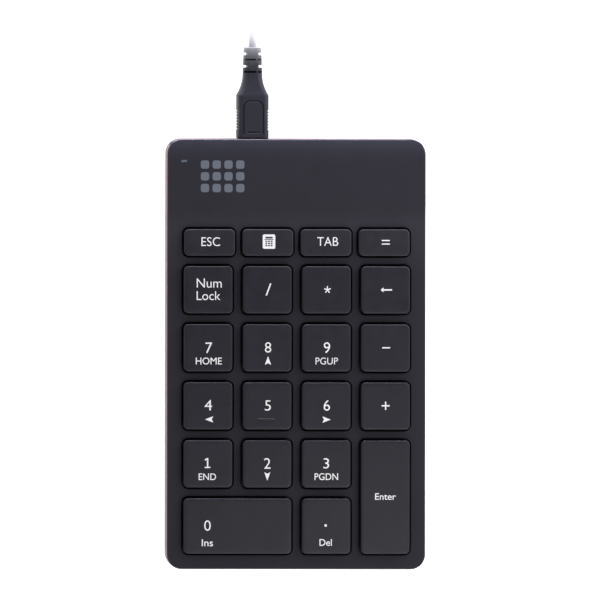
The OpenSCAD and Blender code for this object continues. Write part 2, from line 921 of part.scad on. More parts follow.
module plug_overmould() {
    steps = 6;
    notch_t = 3.15;
    notch_pitch = 0.97;
    notch_depth = 0.4;
    slot_from_axis = 1.75;
    bridge = [0.85, 1.45];
    top_slots = [[neck_end + 0.05, neck_end + 0.75], [25.3, 25.8]];
    side_slots = [[22.9, 23.75], [26.9, 27.75]];
    color(black_plastic)
        difference() {
            sectioned_bar(concat(
                [[grip_y - rear_y, grip_w, grip_h, grip_corner_r]],
                [for (i = [steps : -1 : 0]) taper_section(i / steps)],
                [[strain_end, 2 * strain_end_r, 2 * strain_end_r, neck_corner_r - 0.1]]
            ));
            // finger notches down both sides of the grip
            for (i = [0 : 6], side = [-1, 1])
                translate([plug_x + side * grip_w / 2, rear_y + notch_t + i * notch_pitch, socket_z])
                    cube([2 * notch_depth, 0.5, grip_h + 1], center = true);
            // slots that let the strain relief bend; a bridge crosses each of the upper and lower ones
            for (slot = top_slots, side = [-1, 1], reach = [[-4, bridge[0]], [bridge[1], 4]])
                translate([plug_x + reach[0], rear_y + slot[0], socket_z + side * (slot_from_axis + 2) - 2])
                    cube([reach[1] - reach[0], slot[1] - slot[0], 4]);
            for (slot = side_slots, side = [-1, 1])
                translate([plug_x + side * (slot_from_axis + 2), rear_y + (slot[0] + slot[1]) / 2, socket_z])
                    cube([4, slot[1] - slot[0], 8], center = true);
            plug_prism(6.95, 1.9, 0.8, [grip_y - 1, plug_shell_y[1] + 0.1]);
            plug_rod(bore_r, plug_shell_y[1], rear_y + strain_end + 1);
        }
}

module cable_jacket() {
    exposed_y = rear_y + strain_end + 0.02;
    color(black_plastic)
        difference() {
            union() {
                plug_rod(squeezed_r, jacket_start_y, exposed_y + 0.5);
                plug_rod(cable_d / 2, exposed_y, cut_y);
            }
            plug_rod(shield_r + 0.01, jacket_start_y - 1, cut_y + 1);
        }
}

module cable_shield() {
    color(steel)
        difference() {
            plug_rod(shield_r, jacket_start_y + 0.5, cut_y);
            plug_rod(shield_r - 0.14, jacket_start_y - 1, cut_y + 1);
        }
}

// Draws its children at the place of wire number i in the cable
module at_core_wire(i) {
    translate([wire_ring_r * cos(45 + 90 * i), 0, wire_ring_r * sin(45 + 90 * i)])
        children();
}

module core_wire(i) {
    at_core_wire(i)
        difference() {
            plug_rod(core_wire_r, plug_shell_y[1] + 0.6, cut_y);
            plug_rod(core_r + 0.01, plug_shell_y[1], cut_y + 1);
        }
}

module wire_red() { color("firebrick") core_wire(0); }
module wire_white() { color("white") core_wire(1); }
module wire_green() { color("seagreen") core_wire(2); }
module wire_black() { color("black") core_wire(3); }

module wire_cores() {
    color([0.75, 0.45, 0.3])
        for (i = [0 : 3])
            at_core_wire(i)
                plug_rod(core_r, plug_shell_y[1] + 0.3, cut_y);
}

top_cover();
bottom_cover();
key_guide_frame();
backing_plate();
membrane_bottom_sheet();
membrane_spacer_sheet();
membrane_top_sheet();
rubber_domes();
circuit_board();
controller_chip();
chip_leads();
board_capacitors();
tail_clamp_bar();
tail_pressure_strip();
clamp_screws();
board_screws();
case_screws();
rubber_feet();
indicator_led();
indicator_light_pipe();
usb_socket_shell();
usb_socket_insulator();
usb_socket_contacts();
key_esc();
key_calculator();
key_tab();
key_equals();
key_num_lock();
key_divide();
key_multiply();
key_backspace();
key_7();
key_8();
key_9();
key_minus();
key_4();
key_5();
key_6();
key_plus();
key_1();
key_2();
key_3();
key_enter();
key_0();
key_decimal();
stabiliser_wire_0();
stabiliser_wire_enter();
plug_overmould();
plug_shell();
plug_insulator();
plug_contacts();
cable_jacket();
cable_shield();
wire_red();
wire_white();
wire_green();
wire_black();
wire_cores();
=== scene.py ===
"""Looks of the numeric keypad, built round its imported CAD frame.

Lengths are in millimetres unless a name says otherwise, and become metres as each mesh is made.
"""

import json
import math

import bmesh
import bpy
from mathutils import Matrix, Vector
from mathutils.geometry import delaunay_2d_cdt


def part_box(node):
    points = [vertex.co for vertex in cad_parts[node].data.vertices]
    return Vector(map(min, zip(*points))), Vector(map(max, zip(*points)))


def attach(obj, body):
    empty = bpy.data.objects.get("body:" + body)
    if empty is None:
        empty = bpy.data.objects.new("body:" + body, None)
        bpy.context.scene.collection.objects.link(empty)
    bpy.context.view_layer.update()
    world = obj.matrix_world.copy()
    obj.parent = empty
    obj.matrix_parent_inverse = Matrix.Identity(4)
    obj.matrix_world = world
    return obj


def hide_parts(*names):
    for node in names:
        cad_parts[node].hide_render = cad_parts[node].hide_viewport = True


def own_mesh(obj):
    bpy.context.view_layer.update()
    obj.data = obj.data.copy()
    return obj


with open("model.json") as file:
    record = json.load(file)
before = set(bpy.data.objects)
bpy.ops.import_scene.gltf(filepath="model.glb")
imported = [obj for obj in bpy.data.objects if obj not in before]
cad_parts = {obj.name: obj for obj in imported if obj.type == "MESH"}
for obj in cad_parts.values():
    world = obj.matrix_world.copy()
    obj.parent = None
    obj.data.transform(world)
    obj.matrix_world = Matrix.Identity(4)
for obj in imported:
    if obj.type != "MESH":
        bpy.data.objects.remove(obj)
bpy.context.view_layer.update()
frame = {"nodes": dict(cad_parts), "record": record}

MM = 0.001
NODES = frame["nodes"]
KEYS = [name[4:] for name in NODES if name.startswith("key_") and name != "key_guide_frame"]


def box_mm(node):
    low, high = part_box(node)
    return low / MM, high / MM


# ---------- driving dimensions ----------

COVER_LOW, COVER_HIGH = box_mm("top_cover")
BASE_Z = box_mm("bottom_cover")[0].z
CASE_SIZE = (COVER_HIGH.x - COVER_LOW.x, COVER_HIGH.y - COVER_LOW.y)
FRONT_Y, REAR_Y = COVER_LOW.y, COVER_HIGH.y
CASE_CORNER_R = 4.8
WALL = 1.6
TOP_EDGE_R = 0.4
LOW_EDGE_R = 1.4
PARTING_Z = 4.6
SEAM = 0.12
LIP_Z = 5.4
UNDERSIDE_Z = 7.7
FLOOR_Z = 2.4
BROW_Z = COVER_HIGH.z
BEZEL_Z = BROW_Z - 0.35
RAMP_Y = (42.8, 49.3)
KEY_GAP = 0.6
KEY_CORNER_R = 1.5
WINDOW_EDGE_R = 0.18
CAP_WALL = 1.0
CAP_EDGE_R = 0.35
CAP_TOP_Z = box_mm("key_7")[1].z
CAP_UNDER_Z = CAP_TOP_Z - 1.2
SKIRT_Z = 8.4
STEM_LOW_Z = box_mm("key_7")[0].z
STEM_R = 2.25
RIB_HALF_W, RIB_REACH = 0.4, 2.55
BARB_HALF_W, BARB_REACH = 0.5, 2.65
PLUNGER_Z = 6.7
PLUNGER_R = 1.8
SCREW_PLACES = [(-33.5, 51.0), (33.5, 51.0)] + [(x, y) for x in (-19.0, 19.0) for y in (11.47, -25.85)]
BOARD_POSTS = [(-25.5, 63.0), (10.5, 62.5), (-10.0, 48.2), (10.0, 48.2)]
FOOT_PLACES = [(x, y) for x in (-31.0, 31.0) for y in (-61.5, 61.0)]
LATCH_X = (-22.0, 0.0, 22.0)
LATCH_HALF_W = 3.8
SOCKET_OPENING = (8.0, 3.0)
LAMP_OPENING = (1.98, 0.78)
PLUG_X = sum(c.x for c in box_mm("plug_shell")) / 2
PLUG_Z = sum(c.z for c in box_mm("plug_shell")) / 2
GRIP_LOW, GRIP_HIGH = box_mm("plug_overmould")
GRIP_SIZE = (GRIP_HIGH.x - GRIP_LOW.x, GRIP_HIGH.z - GRIP_LOW.z)
GRIP_CORNER_R = 1.6
GROOVE_Z = (GRIP_HIGH.z - 0.34, GRIP_HIGH.z + 0.1)
GRIP_FROM = 0.08
GRIP_END = 14.06
NECK_END = 21.2
NECK_R = 3.05
NECK_CORNER_R = 2.0
STRAIN_END = 29.5
STRAIN_END_R = 2.8
SLOT_FROM_AXIS = 1.75


# ---------- mesh building ----------

def inside(point, outline):
    """Whether a point lies within a closed outline, by counting the sides to its right."""
    within = False
    for a, b in zip(outline, outline[1:] + outline[:1]):
        if (a.y > point.y) != (b.y > point.y):
            if point.x < a.x + (point.y - a.y) / (b.y - a.y) * (b.x - a.x):
                within = not within
    return within


class Shell:
    """Points and faces of one mesh, collected ring by ring."""

    def __init__(self):
        self.points = []
        self.faces = []

    def ring(self, points):
        start = len(self.points)
        self.points.extend(points)
        return list(range(start, len(self.points)))

    def bridge(self, *rings):
        """Joins each ring to the next one with quads."""
        for a, b in zip(rings, rings[1:]):
            for i in range(len(a)):
                self.faces.append((a[i - 1], a[i], b[i], b[i - 1]))

    def cap(self, ring):
        self.faces.append(tuple(ring))

    def fill(self, outer, holes=(), lines=()):
        """Covers the area within a ring and outside the holes; lines are kept as edges."""
        rings = [outer, *holes]
        index = list(dict.fromkeys(i for loop in (*rings, *lines) for i in loop))
        place = {i: k for k, i in enumerate(index)}
        edges = [(place[ring[i - 1]], place[ring[i]]) for ring in rings for i in range(len(ring))]
        edges += [(place[a], place[b]) for line in lines for a, b in zip(line, line[1:])]
        flat = [Vector(self.points[i][:2]) for i in index]
        outlines = [[flat[place[i]] for i in ring] for ring in rings]
        found = delaunay_2d_cdt(flat, edges, [], 0, 1e-6)
        for face in found[2]:
            corners = [found[3][k][0] for k in face]
            centre = sum((flat[k] for k in corners), Vector((0, 0))) / len(corners)
            if inside(centre, outlines[0]) and not any(inside(centre, hole) for hole in outlines[1:]):
                self.faces.append(tuple(index[k] for k in corners))

    def mesh(self, name):
        """The mesh in metres, with coinciding points merged and faces turned outward."""
        bm = bmesh.new()
        verts = [bm.verts.new(Vector(point) * MM) for point in self.points]
        for face in self.faces:
            bm.faces.new([verts[i] for i in face])
        bmesh.ops.remove_doubles(bm, verts=bm.verts, dist=2e-7)
        bmesh.ops.recalc_face_normals(bm, faces=bm.faces)
        made = bpy.data.meshes.new(name)
        bm.to_mesh(made)
        bm.free()
        return made


def spread(start, stop, steps):
    """Evenly spaced values from start to stop, both included."""
    return [start + (stop - start) * k / steps for k in range(steps + 1)]


def arc(centre, r, start, stop, steps):
    """(x, y) points round a centre from one angle to another, in degrees."""
    angles = [math.radians(angle) for angle in spread(start, stop, steps)]
    return [(centre[0] + r * math.cos(a), centre[1] + r * math.sin(a)) for a in angles]


def rounded_rect(centre, size, r, z, steps=8, inset=0, side_y=()):
    """Points round a rounded rectangle drawn with an inset; z is a height, or gives one from y."""
    height = z if callable(z) else lambda y: z
    reach_x, reach_y = size[0] / 2 - r, size[1] / 2 - r
    r -= inset
    points = []
    for side_x, end_y, start in ((1, -1, -90), (1, 1, 0), (-1, 1, 90), (-1, -1, 180)):
        x, y = centre[0] + side_x * reach_x, centre[1] + end_y * reach_y
        if start == 0:
            points += [(x + r, stop) for stop in side_y]
        if start == 180:
            points += [(x - r, stop) for stop in reversed(side_y)]
        points += arc((x, y), r, start, start + 90, steps)
    return [(x, y, height(y)) for x, y in points]


def circle(centre, r, z, steps=32, start=0):
    return [(x, y, z) for x, y in arc(centre, r, start, start + 360, steps)[:-1]]


def stadium(centre, length, width, z, steps=16):
    """An oval with straight sides, drawn along X."""
    r, run = width / 2, (length - width) / 2
    points = arc((centre[0] + run, centre[1]), r, -90, 90, steps)
    points += arc((centre[0] - run, centre[1]), r, 90, 270, steps)
    return [(x, y, z) for x, y in points]


def fillet(r, steps):
    """(inset, drop) pairs from the side wall up to the top of an edge of radius r."""
    return [(r - x, r - y) for x, y in arc((0, 0), r, 0, 90, steps)]


def closed(outlines):
    """A body of outlines of (x, y, z) points, each joined to the next and both ends covered."""
    shell = Shell()
    rings = [shell.ring(points) for points in outlines]
    shell.bridge(*rings)
    shell.cap(rings[0])
    shell.cap(rings[-1])
    return shell


def stack(layers):
    """Outlines of (x, y) points, each at its own z, as one closed body."""
    return closed([[(x, y, z) for x, y in outline] for outline, z in layers])


def prism_z(outline, z_range):
    return stack([(outline, z) for z in z_range])


def prism_y(outline, y_range):
    """An outline of (x, z) points drawn from one y to another."""
    return closed([[(x, y, z) for x, z in outline] for y in y_range])


def block(low, high):
    corners = ((low[0], low[1]), (high[0], low[1]), (high[0], high[1]), (low[0], high[1]))
    return prism_z(corners, (low[2], high[2]))


def joined(shells):
    """Several separate shells as one."""
    whole = Shell()
    for shell in shells:
        start = len(whole.points)
        whole.points += shell.points
        whole.faces += [tuple(i + start for i in face) for face in shell.faces]
    return whole


def placed(name, data):
    """A new object in the scene."""
    obj = bpy.data.objects.new(name, data)
    bpy.context.scene.collection.objects.link(obj)
    return obj


def evaluated(obj):
    graph = bpy.context.evaluated_depsgraph_get()
    return bpy.data.meshes.new_from_object(obj.evaluated_get(graph))


def combined(mesh, tool, operation):
    """The exact union or difference of a closed mesh and a closed shell."""
    target, cutter = placed("target", mesh), placed("cutter", tool.mesh("cutter"))
    change = target.modifiers.new("change", "BOOLEAN")
    change.operation = operation
    change.solver = "EXACT"
    change.object = cutter
    made = evaluated(target)
    for obj in (target, cutter):
        bpy.data.objects.remove(obj)
    return made


def piece(name, mesh, body, look, replaces=(), sharp=35):
    """A finished piece of the object, riding on a CAD body."""
    obj = placed(name, mesh)
    mesh.name = name
    mesh.materials.clear()
    mesh.materials.append(look)
    smooth(obj, sharp)
    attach(obj, body)
    if replaces:
        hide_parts(*replaces)
    return obj


def smooth(obj, sharp):
    """Smooth shading between faces that meet at less than the sharp angle, weighted by area."""
    obj.data.polygons.foreach_set("use_smooth", [True] * len(obj.data.polygons))
    obj.data.set_sharp_from_angle(angle=math.radians(sharp))
    weighted = obj.modifiers.new("weighted normals", "WEIGHTED_NORMAL")
    weighted.keep_sharp = True


# ---------- materials ----------

def tone(red, green, blue):
    """A display colour from 0 to 255 as linear light."""
    def linear(value):
        value /= 255
        return value / 12.92 if value <= 0.04045 else ((value + 0.055) / 1.055) ** 2.4
    return (linear(red), linear(green), linear(blue), 1.0)


def feed(tree, node, inputs):
    """Gives inputs, by index or by name with _ for a space, plain values or other nodes' outputs."""
    for key, value in inputs.items():
        socket = node.inputs[key if isinstance(key, int) else key.replace("_", " ")]
        if isinstance(value, bpy.types.NodeSocket):
            tree.links.new(value, socket)
        else:
            socket.default_value = value


def add_node(tree, kind, **inputs):
    node = tree.nodes.new("ShaderNode" + kind)
    feed(tree, node, inputs)
    return node


class Look:
    """A procedural material: a Principled shader fed by textures in object space."""

    def __init__(self, name, colour, roughness, **inputs):
        self.material = bpy.data.materials.new(name)
        self.material.use_nodes = True
        self.tree = self.material.node_tree
        self.shader = self.tree.nodes["Principled BSDF"]
        self.colour = colour
        self.coordinates = add_node(self.tree, "TexCoord").outputs["Object"]
        self.height = None
        self.set(Base_Color=colour, Roughness=roughness, **inputs)

    def set(self, **inputs):
        feed(self.tree, self.shader, inputs)

    def place(self, stretch):
        return add_node(self.tree, "Mapping", Vector=self.coordinates, Scale=stretch).outputs[0]

    def noise(self, size, detail=3.0, stretch=(1, 1, 1)):
        """Cloudy noise whose features are about size millimetres across."""
        place = self.place(stretch)
        node = add_node(self.tree, "TexNoise", Vector=place, Scale=1 / (size * MM), Detail=detail)
        return node.outputs["Fac"]

    def bands(self, size, axis, stretch=(1, 1, 1), distortion=0.0):
        """Sine bands about size millimetres apart along one axis or the diagonal."""
        place, scale = self.place(stretch), 0.314 / (size * MM)
        node = add_node(self.tree, "TexWave", Vector=place, Scale=scale, Distortion=distortion)
        node.bands_direction = axis
        return node.outputs["Fac"]

    def scatter(self, size):
        """Distance from the nearest of many points strewn about size millimetres apart."""
        place = self.place((1, 1, 1))
        node = add_node(self.tree, "TexVoronoi", Vector=place, Scale=1 / (size * MM))
        return node.outputs["Distance"]

    def remap(self, source, start, end, low, high):
        """source from start..end becomes low..high."""
        node = add_node(
            self.tree, "MapRange", Value=source, From_Min=start, From_Max=end, To_Min=low, To_Max=high,
        )
        return node.outputs["Result"]

    def wander(self, source, low, high):
        """Noise as a value that wanders between low and high."""
        return self.remap(source, 0.3, 0.7, low, high)

    def mix(self, source, low, high):
        """A colour that turns from low to high as source goes from 0 to 1."""
        node = add_node(self.tree, "Mix")
        node.data_type = "RGBA"
        feed(self.tree, node, {0: source, 6: low, 7: high})
        return node.outputs[2]

    def math(self, operation, a, b):
        node = add_node(self.tree, "Math")
        node.operation = operation
        feed(self.tree, node, {0: a, 1: b})
        return node.outputs[0]

    def clouded(self, colour, size, low, high):
        """The colour, made darker and lighter between two factors in patches of the given size."""
        node = add_node(self.tree, "VectorMath")
        node.operation = "SCALE"
        factor = self.wander(self.noise(size), low, high)
        feed(self.tree, node, {0: colour[:3] if isinstance(colour, tuple) else colour, "Scale": factor})
        return node.outputs[0]

    def mottle(self, size, amount):
        self.set(Base_Color=self.clouded(self.colour, size, 1 - amount, 1 + amount))

    def gloss(self, source, low, high):
        self.set(Roughness=self.wander(source, low, high))

    def along(self, axis, source=None):
        """One coordinate, in metres, of the point being shaded, or of another vector."""
        split = add_node(self.tree, "SeparateXYZ", Vector=source or self.coordinates)
        return split.outputs[axis]

    def distance(self, axis, source=None):
        """That coordinate without its sign."""
        return self.math("ABSOLUTE", self.along(axis, source), 0)

    def tilted(self, steep, flat):
        """1 on faces whose normal's upright part is below steep, 0 where it is above flat."""
        normal = add_node(self.tree, "NewGeometry").outputs["Normal"]
        return self.remap(self.distance("Z", normal), steep, flat, 1, 0)

    def towards_rear(self, colour, rear_colour, start, end, power=1.0):
        """A colour that turns into another between two places along Y, given in millimetres."""
        rise = self.remap(self.along("Y"), start * MM, end * MM, 0, 1)
        return self.mix(self.math("POWER", rise, power), colour, rear_colour)

    def outermost(self, size, border):
        """1 within border millimetres of the sides of a rectangle about the origin."""
        reach = [
            self.math("GREATER_THAN", self.distance(axis), (side / 2 - border) * MM)
            for axis, side in zip("XY", size)
        ]
        return self.math("MAXIMUM", *reach)

    def bump(self, source, height):
        """Raises the surface by up to height millimetres where source is 1."""
        node = add_node(self.tree, "Bump", Height=source, Distance=height * MM)
        if self.height:
            feed(self.tree, node, {"Normal": self.height})
        self.height = node.outputs["Normal"]
        self.set(Normal=self.height)


def plastic(name, colour, roughness, grain, depth):
    """Moulded plastic with an eroded-tool grain, faint clouding and uneven gloss."""
    look = Look(name, colour, roughness)
    look.mottle(9.0, 0.07)
    look.gloss(look.noise(3.0), roughness - 0.04, roughness + 0.05)
    look.bump(look.noise(grain, 4.0), depth)
    return look.material


def case_look():
    """Charcoal plastic with eroded faces, painted lighter over the rear key rows as if lit there, and
    with a painted highlight brightening towards the rear edge; the outer walls are polished and carry a
    faint warm sheen.
    """
    roughness, specular = 0.6, 0.12
    # lit is a painted lighter tone for the rear key rows, and rear is a painted highlight tone for the
    # rear edge.
    colour, lit, rear = tone(48, 47, 54), tone(54, 53, 60), tone(66, 66, 79)
    look = Look(
        "case_plastic", colour, roughness, Sheen_Roughness=0.25, Sheen_Tint=(1.0, 0.5, 0.48, 1.0),
    )
    # Painted light: the bezel lightens over the rear key rows, fades back to plain on the brow's ramp,
    # then a painted highlight brightens the last 9 mm up to the rear edge.
    bezel_painted_light = look.towards_rear(colour, lit, 24, 38)
    brow = look.towards_rear(bezel_painted_light, colour, 43, 50)
    painted_rear_glow = look.towards_rear(brow, rear, REAR_Y - 9, REAR_Y, 2.5)
    look.set(Base_Color=look.clouded(painted_rear_glow, 9.0, 0.96, 1.04))
    edge = look.math("MULTIPLY", look.outermost(CASE_SIZE, 1.0), look.tilted(0.93, 0.995))
    wall = look.math("MULTIPLY", edge, look.tilted(0.15, 0.75))
    uneven = look.wander(look.noise(3.0), roughness - 0.04, roughness + 0.05)
    polish = look.math("ADD", look.math("MULTIPLY", edge, -0.38), look.math("MULTIPLY", wall, 0.24))
    shine = look.remap(edge, 0, 1, specular, 0.9)
    look.set(
        Roughness=look.math("ADD", uneven, polish),
        Specular_IOR_Level=look.math("SUBTRACT", shine, look.math("MULTIPLY", wall, 0.65)),
        Sheen_Weight=look.remap(wall, 0, 1, 0, 0.5),
    )
    look.bump(look.noise(0.14, 4.0), 0.004)
    return look.material


def cap_look():
    """Smooth charcoal plastic, painted a touch lighter on the rear row as if more light fell there."""
    # lit is a painted lighter tone that stands in for the light on the rear row.
    colour, lit, roughness = tone(36, 35, 43), tone(43, 42, 49), 0.38
    look = Look("key_plastic", colour, roughness, Specular_IOR_Level=0.4)
    look.set(Base_Color=look.clouded(look.towards_rear(colour, lit, 27, 37), 9.0, 0.93, 1.07))
    look.gloss(look.noise(3.0), roughness - 0.04, roughness + 0.05)
    look.bump(look.noise(0.1, 4.0), 0.003)
    return look.material


def rubber(name, colour, roughness):
    look = Look(name, colour, roughness, Specular_IOR_Level=0.4)
    look.mottle(4.0, 0.12)
    look.gloss(look.noise(1.5), roughness - 0.06, roughness + 0.08)
    look.bump(look.noise(0.25, 4.0), 0.012)
    return look.material


def rolled_metal(name, colour, roughness, stretch=(1, 0.05, 1), scratch=0.12):
    """Sheet or drawn metal with fine lines along one axis."""
    look = Look(name, colour, roughness, Metallic=1.0)
    lines = look.noise(scratch, 5.0, stretch)
    look.gloss(lines, roughness - 0.08, roughness + 0.1)
    look.bump(lines, 0.004)
    look.set(Base_Color=look.clouded(colour, 6.0, 0.9, 1.06))
    return look.material


def insulation(name, colour):
    look = Look(name, colour, 0.35)
    look.mottle(1.2, 0.1)
    look.bump(look.noise(0.3), 0.004)
    return look.material


def film_look():
    """Clear polyester with faint printed silver tracks."""
    base = tone(206, 216, 220)
    look = Look("membrane_film", base, 0.18, Transmission_Weight=0.35, IOR=1.5)
    track = look.remap(look.bands(4.2, "X", distortion=1.5), 0.93, 0.97, 0, 1)
    pads = look.remap(look.scatter(9.5), 0.12, 0.14, 1, 0)
    both = look.math("MAXIMUM", track, pads)
    look.set(Base_Color=look.mix(both, base, tone(150, 152, 156)))
    look.bump(both, 0.01)
    look.gloss(look.noise(5.0), 0.14, 0.3)
    return look.material


def silicone_look():
    look = Look(
        "dome_silicone", tone(214, 212, 202), 0.42,
        Subsurface_Weight=0.4, Subsurface_Radius=(0.0012, 0.001, 0.0008), Subsurface_Scale=1.0,
    )
    look.mottle(2.0, 0.04)
    look.bump(look.noise(0.4), 0.006)
    look.gloss(look.noise(1.0), 0.38, 0.5)
    return look.material


def board_look():
    """Green solder mask over copper tracks, slightly raised and lighter where copper lies below."""
    mask = tone(18, 74, 44)
    look = Look("board_laminate", mask, 0.28)
    rows = look.remap(look.bands(1.9, "Y", distortion=2.5), 0.62, 0.7, 0, 1)
    gate = look.remap(look.noise(7.0, 1.0), 0.48, 0.52, 0, 1)
    tracks = look.math("MULTIPLY", rows, gate)
    look.set(Base_Color=look.mix(tracks, mask, tone(36, 116, 66)))
    look.bump(tracks, 0.03)
    look.gloss(look.noise(2.0), 0.22, 0.38)
    return look.material


def braid_look():
    look = Look("braid_metal", tone(178, 172, 160), 0.32, Metallic=1.0)
    one = look.bands(0.5, "DIAGONAL")
    other = look.bands(0.5, "DIAGONAL", (-1, 1, -1))
    weave_and_shade = look.math("MULTIPLY", one, other)
    look.bump(weave_and_shade, 0.06)
    # The weave is painted dark in its hollows, as shade between the strands, and lighter on the
    # crossings; the same pattern also raises the crossings.
    look.set(Base_Color=look.mix(weave_and_shade, tone(96, 90, 82), tone(206, 200, 188)))
    return look.material


def grip_look():
    """Soft black moulding with painted shade where it meets the case, and paler towards the end of its
    strain relief.
    """
    shaded, dark, pale = tone(20, 20, 26), tone(43, 43, 52), tone(159, 160, 164)
    look = Look("cable_rubber", dark, 0.5, Specular_IOR_Level=0.3)
    # Painted shade: the grip is darkest right against the case and plain again 0.8 mm behind it.
    front = look.towards_rear(shaded, dark, REAR_Y + 0.25, REAR_Y + 0.8)
    whole = look.towards_rear(front, pale, REAR_Y + 18.5, REAR_Y + STRAIN_END, 4.0)
    look.set(Base_Color=look.clouded(whole, 2.5, 0.97, 1.03))
    look.gloss(look.noise(1.0), 0.46, 0.58)
    look.bump(look.noise(0.2, 4.0), 0.01)
    return look.material


def jacket_look():
    """The cable's jacket, which fades out to white, with a faint painted glow, at the end where it is
    cut.
    """
    grey, white = tone(178, 178, 182), tone(249, 249, 249)
    start, end = REAR_Y + 30, REAR_Y + 34
    look = Look("cable_jacket", grey, 0.45, Emission_Color=(1, 1, 1, 1))
    # The emission is a painted glow that brightens the cut end towards the white surround.
    look.set(
        Base_Color=look.towards_rear(grey, white, start, end),
        Emission_Strength=look.remap(look.along("Y"), start * MM, end * MM, 0, 0.08),
    )
    look.gloss(look.noise(1.0), 0.4, 0.52)
    look.bump(look.noise(0.3), 0.006)
    return look.material


def ink(name, colour):
    look = Look(name, colour, 0.5)
    look.mottle(0.6, 0.03)
    look.gloss(look.noise(0.4), 0.45, 0.58)
    look.bump(look.noise(0.15), 0.002)
    return look.material


def clear_look():
    look = Look("light_pipe_clear", tone(172, 184, 206), 0.3, Transmission_Weight=0.7)
    look.bump(look.noise(0.2), 0.01)
    look.gloss(look.noise(0.5), 0.25, 0.4)
    return look.material


CASE = case_look()
CAP = cap_look()
SILICONE = silicone_look()
WHITE_INK = ink("legend_ink", tone(252, 252, 252))
MARK_INK = ink("mark_ink", tone(104, 110, 121))
LOOKS = {
    "membrane_film": film_look(),
    "board_laminate": board_look(),
    "light_pipe_clear": clear_look(),
    "braid_metal": braid_look(),
}
for make, slot_name, shade, *settings in (
    (plastic, "guide_plastic", (34, 34, 36), 0.45, 0.3, 0.006),
    (plastic, "chip_plastic", (26, 26, 28), 0.55, 0.08, 0.01),
    (plastic, "capacitor_ceramic", (176, 148, 112), 0.5, 0.1, 0.01),
    (plastic, "led_white", (236, 236, 226), 0.4, 0.1, 0.004),
    (rolled_metal, "plate_steel", (176, 178, 180), 0.36),
    (rolled_metal, "tinned_metal", (206, 206, 202), 0.3, (1, 0.05, 1), 0.2),
    (rolled_metal, "screw_steel", (198, 198, 200), 0.26, (1, 1, 0.1)),
    (rolled_metal, "black_screw_steel", (62, 62, 66), 0.38, (1, 1, 0.1)),
    (rolled_metal, "plated_steel", (208, 208, 210), 0.22, (0.05, 1, 1)),
    (rolled_metal, "gold_plate", (222, 184, 96), 0.24, (1, 0.1, 1)),
    (rolled_metal, "wire_steel", (186, 186, 190), 0.28, (0.1, 0.1, 1)),
    (rolled_metal, "copper", (206, 132, 88), 0.3, (1, 0.1, 1)),
    (rubber, "strip_rubber", (84, 84, 88), 0.75),
    (rubber, "foot_rubber", (38, 38, 40), 0.72),
    (insulation, "insulation_red", (168, 34, 30)),
    (insulation, "insulation_white", (226, 226, 222)),
    (insulation, "insulation_green", (34, 122, 66)),
    (insulation, "insulation_black", (40, 40, 42)),
):
    LOOKS[slot_name] = make(slot_name, tone(*shade), *settings)


# ---------- case ----------

def plan_box(node):
    """Centre and size of a CAD node, seen from above."""
    low, high = box_mm(node)
    return ((low.x + high.x) / 2, (low.y + high.y) / 2), (high.x - low.x, high.y - low.y)


def top_height(y):
    """Height of the cover's top: the key field, a soft ramp and the brow behind it."""
    t = min(1.0, max(0.0, (y - RAMP_Y[0]) / (RAMP_Y[1] - RAMP_Y[0])))
    return BEZEL_Z + (BROW_Z - BEZEL_Z) * t * t * (3 - 2 * t)


def socket_cutter():
    outline = [(x, z) for x, z, _ in rounded_rect((PLUG_X, PLUG_Z), SOCKET_OPENING, 0.6, 0)]
    return prism_y(outline, (REAR_Y - 3, REAR_Y + 3))


def case_ring(shell, inset, z, side_y=()):
    return shell.ring(rounded_rect((0, 0), CASE_SIZE, CASE_CORNER_R, z, 14, inset, side_y))


def pierce(shell, outlines):
    """Bridges a list of rings, given as point lists, and returns the first and last."""
    rings = [shell.ring(points) for points in outlines]
    shell.bridge(*rings)
    return rings[0], rings[-1]


def bore(shell, place, profile):
    """A round hole or post about a place, from (radius, z) pairs."""
    return pierce(shell, [circle(place, r, z) for r, z in profile])


def cover_openings(shell):
    """Windows for the keys and the lamp, and the screw posts; returns their rings above and below."""
    above, below = [], []
    window = [(0.1, UNDERSIDE_Z), (0, UNDERSIDE_Z + 0.1)]
    window += [(grow, BEZEL_Z - drop) for grow, drop in fillet(WINDOW_EDGE_R, 3)]
    openings = []
    for key in KEYS:
        centre, size = plan_box("key_" + key)
        openings.append([
            rounded_rect(centre, size, KEY_CORNER_R, z, inset=-KEY_GAP - grow) for grow, z in window
        ])
    lamp, _ = plan_box("indicator_light_pipe")
    openings.append([
        rounded_rect(lamp, LAMP_OPENING, 0.1, z, 2, -grow)
        for grow, z in ((0, UNDERSIDE_Z), (0, BROW_Z - 0.06), (0.06, BROW_Z))
    ])
    for opening in openings:
        low, high = pierce(shell, opening)
        below.append(low)
        above.append(high)
    for place in SCREW_PLACES:
        first, last = bore(shell, place, [
            (2.28, UNDERSIDE_Z), (2.2, UNDERSIDE_Z - 0.1), (2.2, 4.15), (2.1, 4.05), (1.12, 4.05),
            (1.02, 4.15), (1.02, 7.4),
        ])
        below.append(first)
        shell.cap(last)
    return above, below


def ramp_lines(shell, outer, ramp):
    """Rows of points across the cover's top, so that it follows the ramp up to the brow."""
    lines = []
    for y in ramp:
        ends = [i for i in outer if abs(shell.points[i][1] - y) < 1e-6]
        left, right = sorted(ends, key=lambda i: shell.points[i][0])[:: len(ends) - 1]
        span = spread(shell.points[left][0], shell.points[right][0], 8)
        lines.append([left, *shell.ring([(x, y, top_height(y)) for x in span[1:-1]]), right])
    return lines


